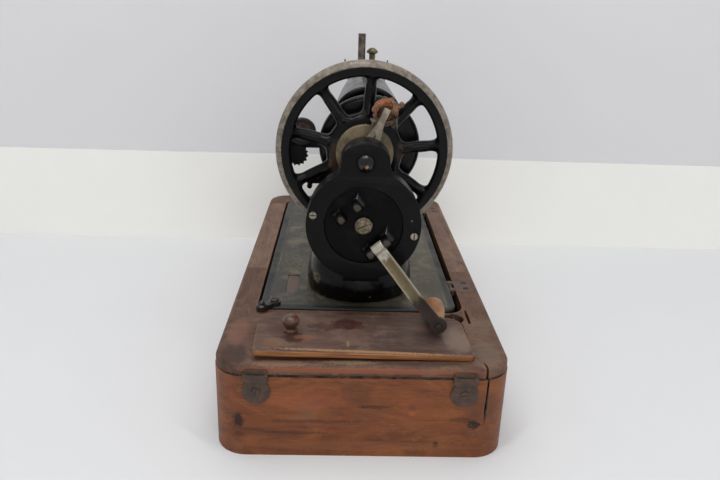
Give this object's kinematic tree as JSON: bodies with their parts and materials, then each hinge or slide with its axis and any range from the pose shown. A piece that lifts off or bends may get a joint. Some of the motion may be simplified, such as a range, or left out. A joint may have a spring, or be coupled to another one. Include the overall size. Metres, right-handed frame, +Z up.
{
  "type": "hand-crank sewing machine in base box",
  "caption": "Small hand-crank sewing machine, hinged in a rounded wooden base box with a lidded accessory compartment and catch plates for a cover.",
  "frame": {"origin": "middle of the base box's underside, on the table", "axes": "+X to the right seen from the crank end, where the bed hinges are; +Y away from the crank end, along the arm; +Z up"},
  "size_m": [0.218, 0.4392, 0.2845],
  "materials": {
    "base_wood": "worn reddish-brown varnish",
    "deck_wood": "dull brown, dusty and stained",
    "inner_wood": "bare",
    "knob_wood": "polished dark brown",
    "grip_wood": "worn orange-brown varnish",
    "dark_fittings": "browned steel",
    "nickel": "dull nickel",
    "hinge_steel": "dark oiled steel",
    "bed_japan": "worn grey-green japan with remains of gold ornament",
    "black_japan": "satin black japan",
    "wheel_japan": "black japan, bare steel rim",
    "bright_steel": "polished steel with light rust",
    "clutch_steel": "olive-brown oiled steel",
    "worn_screw": "speckled brown steel",
    "crank_steel": "browned steel, bright at the hinge",
    "wrap_leather": "frayed",
    "tyre_rubber": "old black rubber"
  },
  "bodies": {
    "base": {"bottom_panel": "inner_wood", "near_end_board": "base_wood", "far_end_board": "base_wood", "left_side_board": "base_wood", "right_side_board": "base_wood", "corner_blocks": "inner_wood", "deck_near_board": "deck_wood", "deck_left_rail": "deck_wood", "deck_right_rail": "deck_wood", "deck_far_rail": "deck_wood", "compartment_divider": "inner_wood", "compartment_floor": "inner_wood", "bed_bearers": "inner_wood", "catch_plates": "dark_fittings", "catch_screws": "nickel", "hinge_leaves": "hinge_steel", "hinge_pins": "hinge_steel", "hinge_screws": "nickel"},
    "lid": {"compartment_lid": "deck_wood", "lid_knob": "knob_wood", "lid_pins": "hinge_steel"},
    "head": {"bed_plate": "bed_japan", "arm_casting": "black_japan", "face_plate": "bright_steel", "needle_plate": "bright_steel", "plate_screws": "nickel", "hinge_fingers": "hinge_steel", "crank_bracket": "black_japan", "bracket_screw": "nickel", "gear_cover": "black_japan", "cover_screws": "nickel", "gear_screw": "worn_screw", "pinion_stud": "black_japan", "thread_guides": "nickel", "bed_catch_screw": "nickel", "winder_bracket": "black_japan"},
    "catch_lever": {"bed_catch": "hinge_steel"},
    "front_slide": {"slide_plate_front": "bright_steel"},
    "back_slide": {"slide_plate_back": "bright_steel"},
    "crank": {"crank_gear": "black_japan", "fold_pin": "bright_steel"},
    "arm": {"crank_arm": "crank_steel", "grip_spindle": "bright_steel"},
    "grip": {"crank_grip": "grip_wood"},
    "pinion": {"drive_pinion": "bright_steel", "drive_finger": "bright_steel", "finger_wrap": "wrap_leather"},
    "wheel": {"handwheel": "wheel_japan", "main_shaft": "bright_steel"},
    "clutch": {"clutch_disc": "clutch_steel"},
    "needle": {"needle_bar": "bright_steel", "needle_and_clamp": "bright_steel"},
    "presser": {"presser_bar": "bright_steel"},
    "knob": {"pressure_knob": "bright_steel"},
    "take_up": {"take_up_lever": "bright_steel"},
    "lifter": {"presser_lifter": "bright_steel"},
    "winder": {"winder_frame": "black_japan"},
    "winder_wheel": {"winder_pulley": "tyre_rubber"},
    "shuttle": {"shuttle_lever": "bright_steel"}
  },
  "joints": [
    {"name": "lid_open", "type": "hinge", "parent": "base", "child": "lid", "pos_m": [0.0773, -0.1744, 0.0737], "axis": [0, 1, 0], "range_deg": [0, 3.5]},
    {"name": "bed_tilt", "type": "hinge", "parent": "base", "child": "head", "pos_m": [0.0836, 0.0475, 0.0726], "axis": [0, 1, 0], "range_deg": [0, 60]},
    {"name": "catch_swing", "type": "hinge", "parent": "head", "child": "catch_lever", "pos_m": [-0.0725, -0.118, 0.0773], "axis": [0, 0, 1], "range_deg": [0, 75]},
    {"name": "front_slide_pull", "type": "slide", "parent": "head", "child": "front_slide", "axis": [-1, 0, 0], "range_m": [0, 0.04]},
    {"name": "back_slide_pull", "type": "slide", "parent": "head", "child": "back_slide", "axis": [1, 0, 0], "range_m": [0, 0.012]},
    {"name": "crank_turn", "type": "hinge", "parent": "head", "child": "crank", "pos_m": [-0.0012, -0.155, 0.161], "axis": [0, -1, 0], "range_deg": [0, 264]},
    {"name": "crank_fold", "type": "hinge", "parent": "crank", "child": "arm", "pos_m": [0.01005, -0.165, 0.14759], "axis": [-0.766, 0, -0.6428], "range_deg": [0, 160]},
    {"name": "grip_spin", "type": "hinge", "parent": "arm", "child": "grip", "pos_m": [0.05697, -0.1805, 0.09167], "axis": [0, -1, 0], "continuous": true},
    {"name": "pinion_spin", "type": "hinge", "parent": "head", "child": "pinion", "pos_m": [-0.0012, -0.155, 0.209], "axis": [0, -1, 0], "range_deg": [-795, 3]},
    {"name": "wheel_spin", "type": "hinge", "parent": "head", "child": "wheel", "pos_m": [-0.0012, -0.118, 0.209], "axis": [0, -1, 0], "range_deg": [-795, 3]},
    {"name": "clutch_turn", "type": "hinge", "parent": "wheel", "child": "clutch", "pos_m": [-0.0012, -0.12, 0.209], "axis": [0, -1, 0], "range_deg": [0, 45]},
    {"name": "needle_slide", "type": "slide", "parent": "head", "child": "needle", "axis": [0, 0, 1], "range_m": [-0.03, 0]},
    {"name": "take_up_swing", "type": "hinge", "parent": "head", "child": "take_up", "pos_m": [0.0073, 0.137, 0.232], "axis": [1, 0, 0], "range_deg": [-41, 1]},
    {"name": "lifter_turn", "type": "hinge", "parent": "head", "child": "lifter", "pos_m": [0.0278, 0.1447, 0.182], "axis": [1, 0, 0], "range_deg": [-1, 80.6]},
    {"name": "presser_lift", "type": "slide", "parent": "head", "child": "presser", "axis": [0, 0, 1], "range_m": [0, 0.005]},
    {"name": "pressure_screw", "type": "hinge", "parent": "head", "child": "knob", "pos_m": [0.013, 0.15, 0.253], "axis": [0, 0, 1], "range_deg": [-180, 180]},
    {"name": "winder_tilt", "type": "hinge", "parent": "head", "child": "winder", "pos_m": [-0.057, -0.09, 0.203], "axis": [0, -1, 0], "range_deg": [0, 8]},
    {"name": "winder_spin", "type": "hinge", "parent": "winder", "child": "winder_wheel", "pos_m": [-0.0513, -0.092, 0.2194], "axis": [0, -1, 0], "continuous": true},
    {"name": "shuttle_swing", "type": "hinge", "parent": "head", "child": "shuttle", "pos_m": [0, -0.02, 0.07], "axis": [0, 0, 1], "range_deg": [-8, 8]}
  ],
  "couplings": [
    {"joint": "pinion_spin", "follows": "crank_turn", "ratio": -3},
    {"joint": "wheel_spin", "follows": "crank_turn", "ratio": -3},
    {"joint": "take_up_swing", "follows": "needle_slide", "rad_per_m": 23.27},
    {"joint": "lifter_turn", "follows": "presser_lift", "rad_per_m": 277.8}
  ]
}
